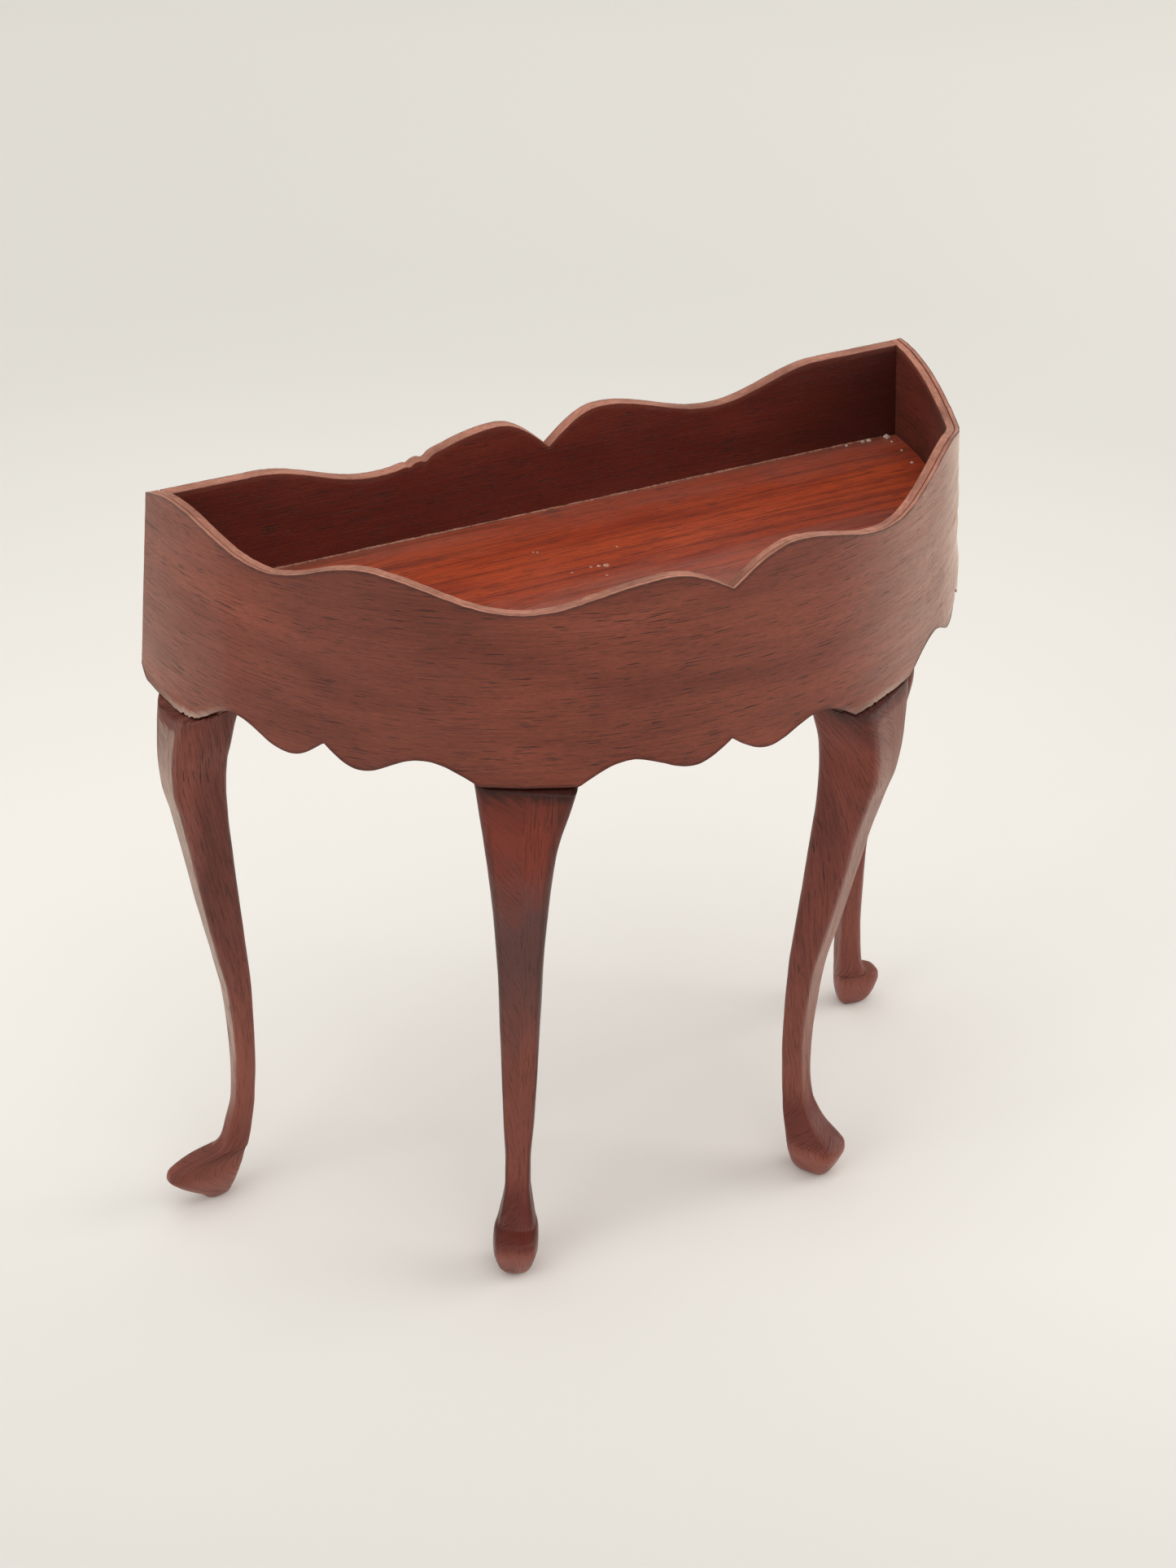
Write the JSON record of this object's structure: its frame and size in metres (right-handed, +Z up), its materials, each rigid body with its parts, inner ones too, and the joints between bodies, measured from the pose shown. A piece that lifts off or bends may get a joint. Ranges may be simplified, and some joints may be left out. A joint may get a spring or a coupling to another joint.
{
  "type": "miniature dressing table",
  "caption": "Half-round dolls' house table with a sunken tray top, a scalloped bent front, a straight back and cabriole legs.",
  "frame": {"origin": "on the ground under the middle of the bounding box", "axes": "+X to the table's right seen from the front, +Y out of its straight back, +Z up"},
  "size_m": [0.081, 0.0348, 0.0727],
  "materials": {
    "band_wood": "thin stained veneer, worn satin lacquer",
    "core_wood": "bare pinkish ply with faint cut lines",
    "panel_wood": "dark red-brown stain, satin",
    "tray_wood": "orange-red stain, satin lacquer with a soft sheen",
    "leg_wood": "hand-carved, stained red-brown, satin lacquer",
    "peg_wood": "bare hidden dowel"
  },
  "bodies": {
    "root": {"back_panel": "panel_wood", "front_band_outer_ply": "band_wood", "front_band_inner_ply": "core_wood", "tray_floor": "tray_wood", "leg_back_left": "leg_wood", "leg_front_left": "leg_wood", "leg_front_right": "leg_wood", "leg_back_right": "leg_wood", "peg_back_left": "peg_wood", "peg_front_left": "peg_wood", "peg_front_right": "peg_wood", "peg_back_right": "peg_wood"}
  },
  "joints": []
}
